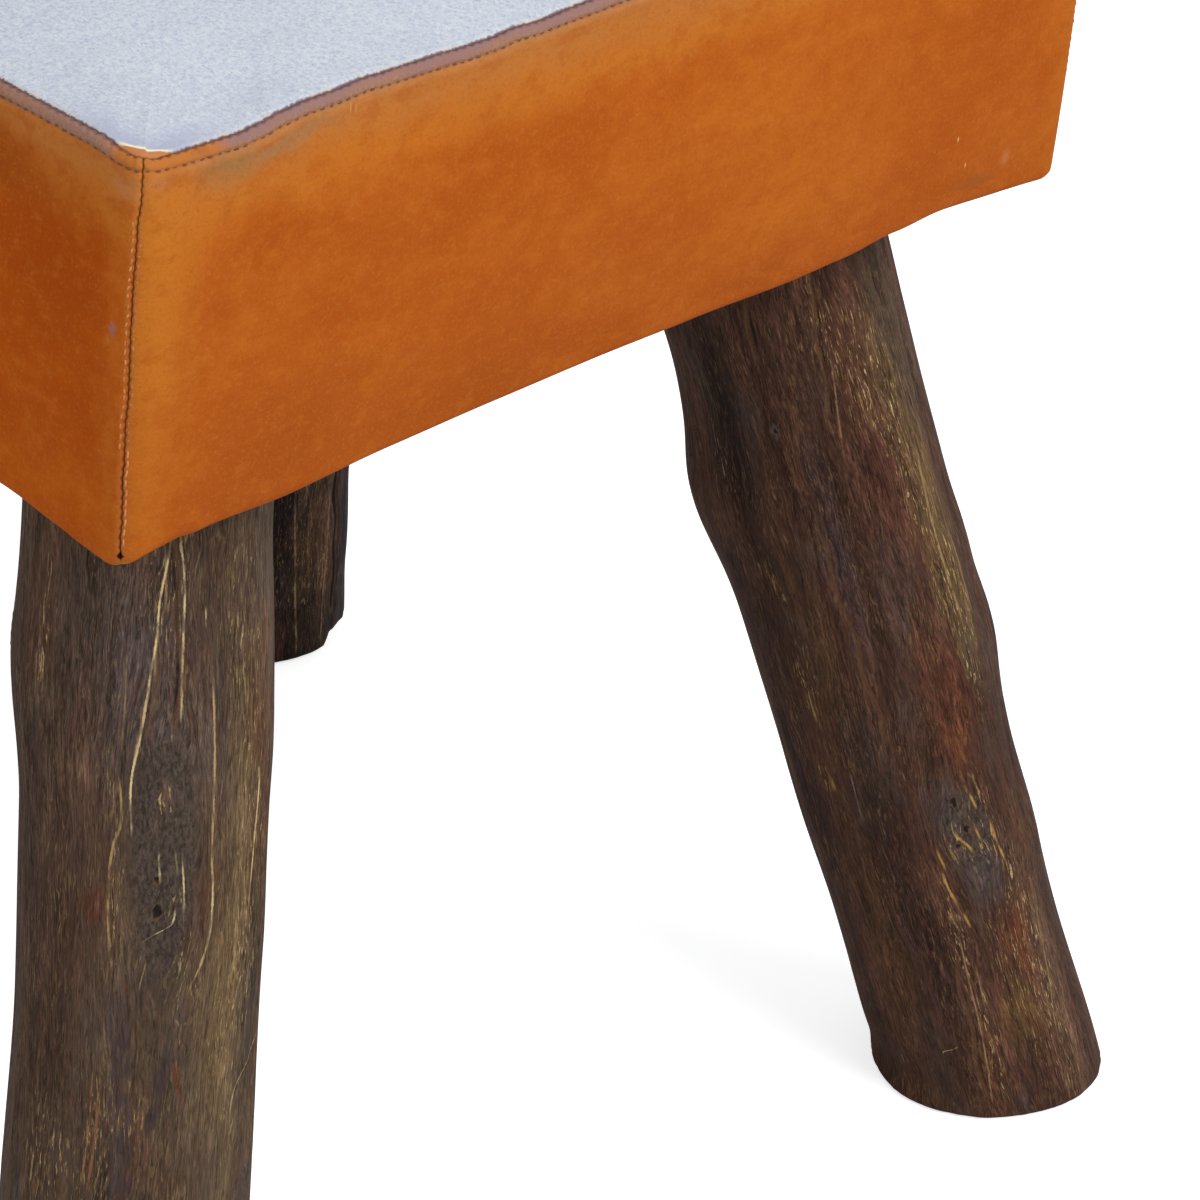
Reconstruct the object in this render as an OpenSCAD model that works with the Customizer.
// Low stool: a box seat covered in sewn leather on four debarked trunk legs.
// Millimetres. The stool stands on z = 0 with the middle of its seat over the origin.
// The long side lies along X and the front faces -Y.

/* [Seat] */
// Length of the seat along X, over the leather
seat_length = 416; // [380:1:460]
// Width of the seat along Y, over the leather
seat_width = 360; // [330:1:400]
// Height of the leather side, from the fold under the seat to the top seam
side_height = 126.5; // [115:0.5:150]
// Height of the seat's underside above the floor
seat_clearance = 355.5; // [320:0.5:400]
// Rise of the padded top at its middle, above the top seam
crown = 9; // [4:0.5:14]
// Outward swell of each side at its middle
side_swell = 4; // [2:0.5:6]
// Outward swell of the sides beside the corners
corner_swell = 1; // [0:0.1:2]
// How far the folded leather hangs down at the four corners
corner_sag = 5.4; // [0:0.1:7]

/* [Leather] */
// Thickness of the leather
leather_t = 2; // [1.6:0.1:2.6]
// Radius of the edge between the top and the sides
edge_r = 5; // [4:0.5:7]
// Distance of the seam between top and side inside the sides
seam_in = 3; // [2:0.1:3.6]
// Radius of the fold along the bottom edge
fold_r = 5; // [4:0.5:7]
// Radius of the four upright corners
corner_r = 7; // [5:0.5:9]
// How deep the upright seams draw the leather in
seam_pinch = 0.9; // [0.5:0.1:1.4]
// Distance from the side to the inner end of the turned-under hem
hem_w = 22; // [19:0.5:24]
// Diameter of the sewing thread
thread_d = 0.9; // [0.6:0.1:1.4]
// Angle down the edge at which the top row of stitches runs
stitch_angle = 14; // [8:1:30]

/* [Padding] */
// Thickness of the foam under the top, at its edges
foam_t = 28; // [20:0.5:40]
// Thickness of the wadding between foam and leather
wadding_t = 4; // [2:0.5:8]
// Thickness of the pads behind the sides
pad_t = 8; // [5:0.5:12]
// Play between soft pieces
soft_gap = 0.3; // [0.2:0.1:0.5]

/* [Frame] */
// Thickness of the plywood deck under the foam
deck_t = 12; // [9:1:18]
// Thickness of the board that carries the legs
base_t = 15; // [12:1:21]
// Thickness of the four rails
rail_t = 20; // [16:1:26]
// Length of the short sides of the corner blocks
block_leg = 45; // [35:1:55]
// Screws along each long rail
long_screws = 4; // [3:1:5]
// Screws along each short rail
short_screws = 3; // [2:1:4]
// Diameter of the frame screws
screw_d = 4; // [3.5:0.5:5]
// Length of the frame screws
screw_length = 35; // [30:1:40]
// Diameter of the countersunk screw heads
screw_head_d = 8; // [7:0.5:9]
// Play of the screws in their holes, all round
screw_gap = 0.1; // [0.05:0.05:0.2]

/* [Legs] */
// Radius of the trunks
leg_r = 39.5; // [35:0.5:43]
// Distance of the leg tops from the ends of the seat
leg_inset_x = 77.4; // [70:0.1:90]
// Distance of the leg tops from the front and back of the seat
leg_inset_y = 74.4; // [70:0.1:90]
// How far each foot stands out from its leg top along X
splay_x = 82; // [60:1:95]
// How far each foot stands out from its leg top along Y
splay_y = 92.6; // [60:0.1:100]
// Height of the worn bevel round each foot
foot_bevel = 3; // [1:0.5:5]
// Unevenness of the debarked surface
bark_wave = 0.6; // [0:0.1:1]

/* [Leg bolts] */
// Diameter of the hanger bolts
bolt_d = 10; // [8:1:12]
// Depth of the hanger bolts in the leg tops
bolt_depth = 60; // [45:1:70]
// How far each bolt stands out above its nut
bolt_end = 3; // [1:0.5:6]
// Diameter of the barrel of the drive-in nuts
nut_barrel_d = 13.5; // [13:0.5:16]
// Diameter of the flange of the drive-in nuts
nut_flange_d = 28; // [24:1:32]
// Thickness of the flange of the drive-in nuts
nut_flange_t = 1.8; // [1.2:0.1:2.5]
// Play of the bolts and nuts in their holes, all round
bolt_gap = 0.1; // [0.05:0.05:0.2]

/* [Underside] */
// Thickness of the dust cover
dust_t = 0.6; // [0.4:0.1:1]
// Distance of the dust cover's edge from the sides
dust_in = 14; // [12:0.5:16]
// Play of the dust cover round the leg tops
dust_leg_gap = 4; // [2:0.5:8]
// Distance of the dust cover's staples from the sides
dust_staple_in = 27; // [26:0.5:29]
// Distance of the hem's staples from the sides
hem_staple_in = 14.8; // [14:0.1:15.5]
// Largest distance from one staple to the next
staple_pitch = 42; // [30:1:60]
// Width of the staples
staple_w = 10; // [8:0.5:13]
// Length of the staples' points
staple_depth = 8; // [7:0.5:10]
// Thickness of the staples' wire
staple_wire = 0.8; // [0.6:0.1:1]
// Play of the staples in their holes, all round
staple_gap = 0.05; // [0.02:0.01:0.1]

/* [Hidden] */

leather_colour = [0.68, 0.34, 0.11];
top_colour = [0.77, 0.79, 0.84];
thread_colour = [0.42, 0.24, 0.2];
wadding_colour = [0.93, 0.92, 0.88];
foam_colour = [0.93, 0.87, 0.66];
board_colour = [0.78, 0.64, 0.44];
rail_colour = [0.85, 0.7, 0.48];
trunk_colour = [0.28, 0.21, 0.17];
steel_colour = [0.66, 0.66, 0.68];
cloth_colour = [0.08, 0.08, 0.09];

half_l = seat_length / 2;
half_w = seat_width / 2;
seat_top = seat_clearance + side_height;

// The seam's angle up the rounded edge, and the height of that edge's centre
seam_angle = acos(1 - seam_in / edge_r);
edge_z = seat_top - edge_r * sin(seam_angle);
fold_z = seat_clearance + fold_r;

// Heights in the seat, from the top down and from the hem up
wadding_top = seat_top - leather_t - soft_gap;
foam_top = wadding_top - wadding_t - soft_gap;
deck_top = foam_top - foam_t;
deck_bottom = deck_top - deck_t;
base_bottom = seat_clearance + leather_t;
base_top = base_bottom + base_t;
rail_h = deck_bottom - base_top;

// The wooden frame stands this far inside the leather
frame_in = leather_t + soft_gap + pad_t + soft_gap;
frame_l = seat_length - 2 * frame_in;
frame_w = seat_width - 2 * frame_in;

leg_x = half_l - leg_inset_x;
leg_y = half_w - leg_inset_y;
leg_run = sqrt(splay_x * splay_x + splay_y * splay_y);
leg_tilt = atan(leg_run / base_bottom);

leg_sides = 26;
thread_sides = 6;
round_fn = 48;
small_fn = 24;
cut = 1;
least_r = 0.8;

// Shape of the padding and the leather: how flat the top's middle is, where the sides
// swell most, and how close to the corners the lower edge sags
top_flatness = 2.6;
swell_skew = 1.3;
sag_power = 4;

// Places of the loops over the padded top, and of the rows down the sides, as shares
top_shares = [0, 0.06, 0.18, 0.4, 0.68];
ridge_share = 0.93;
side_shares = [0.15, 0.35, 0.55, 0.75, 0.9, 1];
thread_shares = [0.15, 0.35, 0.55, 0.75, 0.9, 0.97];
pad_shares = [0.2, 0.4, 0.6, 0.8];
pad_low_share = 0.97;
hem_share = 0.75;
edge_angles = [45, 22, 0];
fold_angles = [30, 60, 90];

// Corners of the stool by quarter: the signs of X and Y
FRONT_LEFT = [-1, -1];
FRONT_RIGHT = [1, -1];
BACK_RIGHT = [1, 1];
BACK_LEFT = [-1, 1];
QUARTERS = [FRONT_LEFT, FRONT_RIGHT, BACK_RIGHT, BACK_LEFT];

// Turns that bring a side drawn towards +Y to its place
BACK = 0;
RIGHT = -90;
FRONT = -180;
LEFT = -270;
SIDES = [BACK, RIGHT, FRONT, LEFT];

// Stations along one side: the place along it from -1 to 1, and the angle round the corner
straight_steps = 8;
corner_angles = [45, 22.5];
side_stations = concat(
    [for (a = corner_angles) [-1, -a]],
    [for (i = [0:straight_steps]) [2 * i / straight_steps - 1, 0]],
    [for (i = [len(corner_angles) - 1:-1:0]) [1, corner_angles[i]]]);
ring_stations = [for (i = [0:len(side_stations) - 2]) side_stations[i]];

function turned(p, angle) = [
    p[0] * cos(angle) - p[1] * sin(angle),
    p[0] * sin(angle) + p[1] * cos(angle)];

// A point of the outline: half the side's length, its distance out and the inset
function outline_point(half, out, inset, station, push) =
    let (r = max(corner_r - inset, least_r))
    [
        station[0] * (half - inset - r) + (r + push) * sin(station[1]),
        out - inset - r + (r + push) * cos(station[1])];

function half_along(turn) = turn == FRONT || turn == BACK ? half_l : half_w;
function half_out(turn) = turn == FRONT || turn == BACK ? half_w : half_l;

// The whole outline at one inset, as a flat loop of points
function outline(inset) = [
    for (turn = SIDES)
        for (station = ring_stations)
            turned(outline_point(half_along(turn), half_out(turn), inset, station, 0), turn)];

// The padded top's rise over a point, none at the seam and all of it at the middle
function bulge(x, half) = 1 - pow(min(abs(x) / half, 1), top_flatness);
function rise(p) = crown * bulge(p[0], half_l - seam_in) * bulge(p[1], half_w - seam_in);

// Loops over the padded top, from the inset given to the middle. The rim may be raised.
function crowned_loops(inset, z, rim_lift = 0) = concat(
    [for (k = top_shares)
        let (lift = k == 0 ? rim_lift : 0)
        [for (p = outline(inset + k * (half_w - inset))) [p[0], p[1], z + lift + rise(p)]]],
    [[for (p = outline(inset + ridge_share * (half_w - inset))) [p[0], p[1], z + crown]]]);

// The top panel's rim lies flat on the sides' rim, square to the leather
rim_back_in = edge_r - (edge_r - leather_t) * cos(seam_angle);
rim_back_z = edge_z + (edge_r - leather_t) * sin(seam_angle);

function flat_loops(inset, z) = [
    for (k = [0, ridge_share])
        [for (p = outline(inset + k * (half_w - inset))) [p[0], p[1], z]]];

function backwards(list) = [for (i = [len(list) - 1:-1:0]) list[i]];

// A closed solid skinned over loops with the same number of points
module loft(loops) {
    n = len(loops[0]);
    m = len(loops);
    skin = [
        for (i = [0:m - 2])
            for (k = [0:n - 1])
                let (a = i * n + k, b = i * n + (k + 1) % n, c = b + n, d = a + n)
                each [[a, b, c], [a, c, d]]];
    first = [for (k = [n - 1:-1:0]) k];
    last = [for (k = [0:n - 1]) (m - 1) * n + k];
    polyhedron([for (loop = loops) each loop], concat(skin, [first, last]));
}

// Points of the leather's section: the inset, the share of the swell, the height, and
// the shares of the corner's sag and of the seam's pinch, at a depth below the outer face
function edge_key(depth, angle) = [
    edge_r - (edge_r - depth) * cos(angle), 0, edge_z + (edge_r - depth) * sin(angle), 0, 1];
function side_key(depth, s) = [
    depth, sin(180 * pow(s, swell_skew)), edge_z + (fold_z - edge_z) * s, pow(s, sag_power), 1];
function fold_key(depth, angle) = [
    fold_r - (fold_r - depth) * cos(angle), 0, fold_z - (fold_r - depth) * sin(angle),
    1, 1 - angle / 90];
function hem_key(depth, inset) = [inset, 0, seat_clearance + depth, 0, 0];

function skin_keys(depth) = concat(
    [for (a = concat(seam_angle, edge_angles)) edge_key(depth, a)],
    [for (s = side_shares) side_key(depth, s)],
    [for (a = fold_angles) fold_key(depth, a)],
    [hem_key(depth, fold_r + (dust_in - fold_r) * hem_share), hem_key(depth, hem_w)]);

function swell_at(station) =
    corner_swell + (side_swell - corner_swell) * (1 - pow(station[0], 2));
function sag_at(station) = corner_sag * pow(station[0], sag_power);
function pinch_at(station) =
    seam_pinch * max(abs(station[1]) - corner_angles[1], 0) / corner_angles[1];

function place_key(turn, station, key) =
    let (
        push = key[1] * swell_at(station) - key[4] * pinch_at(station),
        p = outline_point(half_along(turn), half_out(turn), key[0], station, push))
    [p[0], p[1], key[2] - key[3] * sag_at(station)];

// One side's piece, lofted from a closed section between the middles of two corners
module side_piece(turn, keys) {
    rotate([0, 0, turn])
        loft([for (station = side_stations)
            [for (key = keys) place_key(turn, station, key)]]);
}

module side_panel(turn) {
    color(leather_colour)
        difference() {
            side_piece(turn, concat(skin_keys(0), backwards(skin_keys(leather_t))));
            hem_staple_row(turn, staple_gap);
        }
}

module front_panel() {
    side_panel(FRONT);
}

module right_panel() {
    side_panel(RIGHT);
}

module back_panel() {
    side_panel(BACK);
}

module left_panel() {
    side_panel(LEFT);
}

module top_panel() {
    back_z = seat_top - leather_t;
    color(top_colour)
        loft(concat(
            backwards(crowned_loops(rim_back_in, back_z, rim_back_z - back_z)),
            crowned_loops(seam_in, seat_top)));
}

// A round thread along a line of points, with its across directions
function thread_ring(p, side, up) = [
    for (k = [0:thread_sides - 1])
        let (a = 360 * k / thread_sides)
        p + thread_d / 2 * (cos(a) * side + sin(a) * up)];

module top_seam_thread() {
    r = edge_r + thread_d / 2;
    inset = edge_r - r * cos(stitch_angle);
    loops = [for (p = outline(inset)) p];
    count = len(loops);
    height = edge_z + r * sin(stitch_angle);
    rings = [for (i = [0:count - 1])
        let (
            ahead = loops[(i + 1) % count] - loops[(i + count - 1) % count],
            across = [ahead[1], -ahead[0], 0] / norm(ahead))
        thread_ring([loops[i][0], loops[i][1], height], across, [0, 0, 1])];
    faces = [for (i = [0:count - 1])
        for (k = [0:thread_sides - 1])
            let (
                next = (k + 1) % thread_sides,
                ahead = (i + 1) % count,
                a = i * thread_sides + k,
                b = i * thread_sides + next,
                c = ahead * thread_sides + next,
                d = ahead * thread_sides + k)
            each [[a, c, b], [a, d, c]]];
    color(thread_colour)
        polyhedron([for (ring = rings) each ring], faces);
}

// The row of stitches down one upright corner
module seam_thread(turn) {
    corner = side_stations[len(side_stations) - 1];
    out = [sin(45), cos(45), 0];
    across = [cos(45), -sin(45), 0];
    keys = concat(
        [edge_key(0, 0)],
        [for (s = thread_shares) side_key(0, s)]);
    color(thread_colour)
        rotate([0, 0, turn])
            loft([for (key = keys)
                thread_ring(place_key(turn, corner, key) + thread_d / 2 * out, out, across)]);
}

module back_right_seam_thread() {
    seam_thread(BACK);
}

module front_right_seam_thread() {
    seam_thread(RIGHT);
}

module front_left_seam_thread() {
    seam_thread(FRONT);
}

module back_left_seam_thread() {
    seam_thread(LEFT);
}

module top_wadding() {
    inset = leather_t + seam_in + soft_gap;
    color(wadding_colour)
        loft(concat(
            backwards(crowned_loops(inset, wadding_top - wadding_t)),
            crowned_loops(inset, wadding_top)));
}

module seat_foam() {
    color(foam_colour)
        loft(concat(
            backwards(flat_loops(frame_in, deck_top)),
            crowned_loops(frame_in, foam_top)));
}

// The pads lie flat on the frame and swell with the leather
module side_pad(turn) {
    outer = leather_t + soft_gap;
    top_s = (edge_z - foam_top + soft_gap) / (edge_z - fold_z);
    face = [for (s = concat(top_s, pad_shares, pad_low_share)) side_key(outer, s)];
    back = [for (s = [pad_low_share, top_s]) [outer + pad_t, 0, side_key(0, s)[2], 0, 0]];
    level = [for (key = face) [key[0], key[1], key[2], 0, key[4]]];
    color(wadding_colour)
        side_piece(turn, concat(level, back));
}

module front_pad() {
    side_pad(FRONT);
}

module right_pad() {
    side_pad(RIGHT);
}

module back_pad() {
    side_pad(BACK);
}

module left_pad() {
    side_pad(LEFT);
}

// Places of the screws that hold the deck and the base board to the rails
function spread(count, length) = [
    for (i = [0:count - 1]) (i - (count - 1) / 2) * length / count];
rail_screws = concat(
    [for (x = spread(long_screws, frame_l)) for (s = [-1, 1])
        [x, s * (frame_w - rail_t) / 2]],
    [for (y = spread(short_screws, frame_w - 2 * rail_t)) for (s = [-1, 1])
        [s * (frame_l - rail_t) / 2, y]]);

// A countersunk screw pointing down from its head's face at the origin
module screw(gap) {
    head_h = (screw_head_d - screw_d) / 2;
    tip_h = screw_d / 2;
    translate([0, 0, -screw_length + tip_h - gap])
        cylinder(h = screw_length - tip_h + gap, d = screw_d + 2 * gap, $fn = small_fn);
    translate([0, 0, -screw_length - gap])
        cylinder(h = tip_h, d1 = screw_d / 4 + 2 * gap, d2 = screw_d + 2 * gap, $fn = small_fn);
    translate([0, 0, -head_h])
        cylinder(h = head_h, d1 = screw_d + 2 * gap, d2 = screw_head_d + 2 * gap, $fn = small_fn);
}

module deck_screw_set(gap) {
    for (p = rail_screws)
        translate([p[0], p[1], deck_top])
            screw(gap);
}

module base_screw_set(gap) {
    for (p = rail_screws)
        translate([p[0], p[1], base_bottom])
            rotate([180, 0, 0])
                screw(gap);
}

// Two screws through each end of the long rails into the short ones
corner_screw_shares = [0.25, 0.75];
module corner_screw_set(gap) {
    for (x = [-1, 1])
        for (y = [-1, 1])
            for (s = corner_screw_shares)
                translate([x * (frame_l - rail_t) / 2, y * frame_w / 2, base_top + s * rail_h])
                    rotate([-90 * y, 0, 0])
                        screw(gap);
}

module deck_screws() {
    color(steel_colour)
        deck_screw_set(0);
}

module base_screws() {
    color(steel_colour)
        base_screw_set(0);
}

module corner_screws() {
    color(steel_colour)
        corner_screw_set(0);
}

module deck_board() {
    color(board_colour)
        difference() {
            translate([-frame_l / 2, -frame_w / 2, deck_bottom])
                cube([frame_l, frame_w, deck_t]);
            deck_screw_set(screw_gap);
        }
}

module drilled_rail(size, y_or_x) {
    color(rail_colour)
        difference() {
            translate([y_or_x[0] - size[0] / 2, y_or_x[1] - size[1] / 2, base_top])
                cube([size[0], size[1], rail_h]);
            deck_screw_set(screw_gap);
            base_screw_set(screw_gap);
            corner_screw_set(screw_gap);
        }
}

module front_rail() {
    drilled_rail([frame_l, rail_t], [0, -(frame_w - rail_t) / 2]);
}

module back_rail() {
    drilled_rail([frame_l, rail_t], [0, (frame_w - rail_t) / 2]);
}

module right_rail() {
    drilled_rail([rail_t, frame_w - 2 * rail_t], [(frame_l - rail_t) / 2, 0]);
}

module left_rail() {
    drilled_rail([rail_t, frame_w - 2 * rail_t], [-(frame_l - rail_t) / 2, 0]);
}

// A glued block that stiffens one inner corner of the frame
module corner_block(quarter) {
    x = frame_l / 2 - rail_t;
    y = frame_w / 2 - rail_t;
    corner = [[x, y], [x - block_leg, y], [x, y - block_leg]];
    color(rail_colour)
        translate([0, 0, base_top])
            linear_extrude(height = rail_h)
                polygon([for (p = corner) [p[0] * quarter[0], p[1] * quarter[1]]]);
}

module front_left_block() {
    corner_block(FRONT_LEFT);
}

module front_right_block() {
    corner_block(FRONT_RIGHT);
}

module back_right_block() {
    corner_block(BACK_RIGHT);
}

module back_left_block() {
    corner_block(BACK_LEFT);
}

module at_leg_tops(z) {
    for (q = QUARTERS)
        translate([q[0] * leg_x, q[1] * leg_y, z])
            children();
}

module base_board() {
    color(board_colour)
        difference() {
            translate([-frame_l / 2, -frame_w / 2, base_bottom])
                cube([frame_l, frame_w, base_t]);
            base_screw_set(screw_gap);
            at_leg_tops(base_bottom - cut)
                cylinder(h = base_t + 2 * cut, d = nut_barrel_d + 2 * bolt_gap, $fn = round_fn);
            for (turn = SIDES) {
                hem_staple_row(turn, staple_gap);
                dust_staple_row(turn, staple_gap);
            }
        }
}

// Drive-in nuts: a barrel in the board and a flange on its upper face
module leg_nuts() {
    color(steel_colour)
        at_leg_tops(base_top)
            difference() {
                union() {
                    cylinder(h = nut_flange_t, d = nut_flange_d, $fn = round_fn);
                    translate([0, 0, -base_t + cut])
                        cylinder(h = base_t - cut / 2, d = nut_barrel_d, $fn = round_fn);
                }
                translate([0, 0, -base_t])
                    cylinder(h = base_t + nut_flange_t + cut, d = bolt_d + 2 * bolt_gap,
                        $fn = round_fn);
            }
}

bolt_bottom = base_bottom - bolt_depth;
bolt_top = base_top + nut_flange_t + bolt_end;
bolt_bevel = 1;

// A hanger bolt: wood thread in the leg, machine thread in the nut
module leg_bolt(quarter) {
    tip_h = bolt_d / 2;
    color(steel_colour)
        translate([quarter[0] * leg_x, quarter[1] * leg_y, 0]) {
            translate([0, 0, bolt_bottom + tip_h])
                cylinder(h = bolt_top - bolt_bottom - tip_h - bolt_bevel, d = bolt_d,
                    $fn = round_fn);
            translate([0, 0, bolt_bottom])
                cylinder(h = tip_h, d1 = bolt_d / 4, d2 = bolt_d, $fn = round_fn);
            translate([0, 0, bolt_top - bolt_bevel])
                cylinder(h = bolt_bevel, d1 = bolt_d, d2 = bolt_d - 2 * bolt_bevel, $fn = round_fn);
        }
}

module front_left_bolt() {
    leg_bolt(FRONT_LEFT);
}

module front_right_bolt() {
    leg_bolt(FRONT_RIGHT);
}

module back_right_bolt() {
    leg_bolt(BACK_RIGHT);
}

module back_left_bolt() {
    leg_bolt(BACK_LEFT);
}

// Trunks. Each row of a trunk is its height as a share of the leg's, the drift of its
// middle outwards and sideways, and its extra radius. Each knot is its height share,
// its bearing, how far it stands out, and its half height and half angle.
front_left_rows = [
    [0, 0, 0, 0], [0.3, 0, 0.4, -0.3], [0.5, 0, 1.6, -0.9], [0.67, 0, 1.8, -0.8],
    [0.78, 0, 0.4, 0.3], [0.9, 0, -0.4, -0.4], [1, 0, 0, 0]];
front_left_knots = [[0.78, 132, 1.6, 16, 35], [0.55, -70, 1.6, 20, 25]];
front_right_rows = [
    [0, 0, 0, 0], [0.18, -1, 0, -1], [0.36, -0.6, 0, 0.4], [0.5, 0.2, 0, 1.8],
    [0.67, -0.8, 0, 1.4], [0.79, 0, 0, 0.6], [1, 0, 0, 0.6]];
front_right_knots = [[0.67, 135, 5, 15, 30], [0.52, -42, 1.4, 18, 26], [0.29, -62, 1.5, 15, 22]];
back_right_rows = [
    [0, 0, 0, -0.6], [0.25, 1.5, 1, -1.2], [0.5, 1, 2, -0.4], [0.75, -1, 1, 0.6], [1, 0, 0, 0]];
back_right_knots = [[0.62, 60, 3, 15, 28], [0.3, 150, 2, 13, 24]];
back_left_rows = [
    [0, 0, 0, 0.4], [0.2, -1, -1.5, -0.8], [0.45, 1.5, -2, 0.2], [0.7, 1, 0, 1.2], [1, 0, 0, 0]];
back_left_knots = [[0.42, 160, 3.5, 16, 28], [0.75, -110, 2.5, 14, 26]];

// One value of the trunk's rows at a height share, eased from row to row
function eased(s, rows, column, i = 0) =
    i >= len(rows) - 2 || s <= rows[i + 1][0]
        ? let (t = min(max((s - rows[i][0]) / (rows[i + 1][0] - rows[i][0]), 0), 1))
            rows[i][column] + (rows[i + 1][column] - rows[i][column]) * t * t * (3 - 2 * t)
        : eased(s, rows, column, i + 1);

// The debarked surface waves three times and twice round, and these turns drift with height
wave_drifts = [400, -250];

function angle_between(a, b) = abs(((a - b) % 360 + 540) % 360 - 180);

function knot_swell(knots, s, bearing, i = 0) =
    i >= len(knots)
        ? 0
        : knots[i][2]
            * exp(-pow((s - knots[i][0]) * base_bottom / knots[i][3], 2))
            * exp(-pow(angle_between(bearing, knots[i][1]) / knots[i][4], 2))
            + knot_swell(knots, s, bearing, i + 1);

function trunk_ring(quarter, rows, knots, z) =
    let (
        s = z / base_bottom,
        away = [quarter[0] * splay_x, quarter[1] * splay_y] / leg_run,
        aside = [-away[1], away[0]],
        middle = [quarter[0] * leg_x, quarter[1] * leg_y]
            + away * (leg_run * (1 - s) + eased(s, rows, 1))
            + aside * eased(s, rows, 2),
        worn = z < foot_bevel ? foot_bevel * (1 - z / foot_bevel) : 0,
        radius = leg_r + eased(s, rows, 3) - worn)
    [for (k = [0:leg_sides - 1])
        let (
            a = -360 * k / leg_sides,
            flat_dir = cos(a) * away + sin(a) * aside,
            bearing = atan2(flat_dir[1], flat_dir[0]),
            wave = bark_wave
                * (sin(3 * a + wave_drifts[0] * s) + sin(2 * a + wave_drifts[1] * s)),
            r = radius + wave + knot_swell(knots, s, bearing),
            p = middle + r * (cos(a) / cos(leg_tilt) * away + sin(a) * aside))
        [p[0], p[1], z]];

leg_steps = 20;
module trunk(quarter, rows, knots) {
    heights = concat(
        [0, foot_bevel / 3, foot_bevel],
        [for (i = [1:leg_steps]) foot_bevel + (base_bottom - foot_bevel) * i / leg_steps]);
    loft([for (z = heights) trunk_ring(quarter, rows, knots, z)]);
}

// The blind hole for the hanger bolt
module bolt_hole(quarter) {
    translate([quarter[0] * leg_x, quarter[1] * leg_y, bolt_bottom - bolt_gap])
        cylinder(h = bolt_depth + bolt_gap + cut, d = bolt_d + 2 * bolt_gap, $fn = round_fn);
}

module front_left_leg() {
    color(trunk_colour)
        difference() {
            trunk(FRONT_LEFT, front_left_rows, front_left_knots);
            bolt_hole(FRONT_LEFT);
        }
}

module front_right_leg() {
    color(trunk_colour)
        difference() {
            trunk(FRONT_RIGHT, front_right_rows, front_right_knots);
            bolt_hole(FRONT_RIGHT);
        }
}

// This trunk has a chip out of its foot
chip_h = 8;
chip_bearing = -45;
module back_right_leg() {
    color(trunk_colour)
        difference() {
            trunk(BACK_RIGHT, back_right_rows, back_right_knots);
            bolt_hole(BACK_RIGHT);
            translate([leg_x + splay_x, leg_y + splay_y, 0])
                rotate([0, 0, chip_bearing])
                    translate([leg_r - chip_h, -leg_r, -cut])
                        cube([leg_r, 2 * leg_r, chip_h + cut]);
        }
}

module back_left_leg() {
    color(trunk_colour)
        difference() {
            trunk(BACK_LEFT, back_left_rows, back_left_knots);
            bolt_hole(BACK_LEFT);
        }
}

// A staple pushed up from the origin, its crown below
module staple(gap) {
    translate([-staple_w / 2 - gap, -staple_wire / 2 - gap, -staple_wire])
        cube([staple_w + 2 * gap, staple_wire + 2 * gap, staple_wire + gap / 2]);
    for (x = [-1, 1])
        translate([
            x * (staple_w - staple_wire) / 2 - staple_wire / 2 - gap,
            -staple_wire / 2 - gap,
            -staple_wire / 2])
            cube([
                staple_wire + 2 * gap,
                staple_wire + 2 * gap,
                staple_depth + staple_wire / 2 + gap]);
}

// A row of staples along one side, clear of the corners
module staple_row(turn, inset, z, gap) {
    run = 2 * (half_along(turn) - inset - staple_w);
    count = ceil(run / staple_pitch);
    rotate([0, 0, turn])
        for (i = [0:count - 1])
            translate([(i - (count - 1) / 2) * run / count, half_out(turn) - inset, z])
                staple(gap);
}

module hem_staple_row(turn, gap) {
    staple_row(turn, hem_staple_in, seat_clearance, gap);
}

dust_top = seat_clearance - staple_wire;
module dust_staple_row(turn, gap) {
    staple_row(turn, dust_staple_in, dust_top - dust_t, gap);
}

module hem_staples() {
    color(steel_colour)
        for (turn = SIDES)
            hem_staple_row(turn, 0);
}

module dust_staples() {
    color(steel_colour)
        for (turn = SIDES)
            dust_staple_row(turn, 0);
}

module dust_cover() {
    size = [seat_length - 2 * dust_in, seat_width - 2 * dust_in];
    color(cloth_colour)
        difference() {
            translate([-size[0] / 2, -size[1] / 2, dust_top - dust_t])
                cube([size[0], size[1], dust_t]);
            at_leg_tops(dust_top - dust_t - cut)
                cylinder(h = dust_t + 2 * cut, r = leg_r / cos(leg_tilt) + dust_leg_gap,
                    $fn = round_fn);
            for (turn = SIDES)
                dust_staple_row(turn, staple_gap);
        }
}

top_panel();
front_panel();
right_panel();
back_panel();
left_panel();
top_seam_thread();
front_left_seam_thread();
front_right_seam_thread();
back_right_seam_thread();
back_left_seam_thread();
top_wadding();
seat_foam();
front_pad();
right_pad();
back_pad();
left_pad();
deck_board();
front_rail();
right_rail();
back_rail();
left_rail();
front_left_block();
front_right_block();
back_right_block();
back_left_block();
base_board();
deck_screws();
base_screws();
corner_screws();
front_left_leg();
front_right_leg();
back_right_leg();
back_left_leg();
front_left_bolt();
front_right_bolt();
back_right_bolt();
back_left_bolt();
leg_nuts();
dust_cover();
hem_staples();
dust_staples();
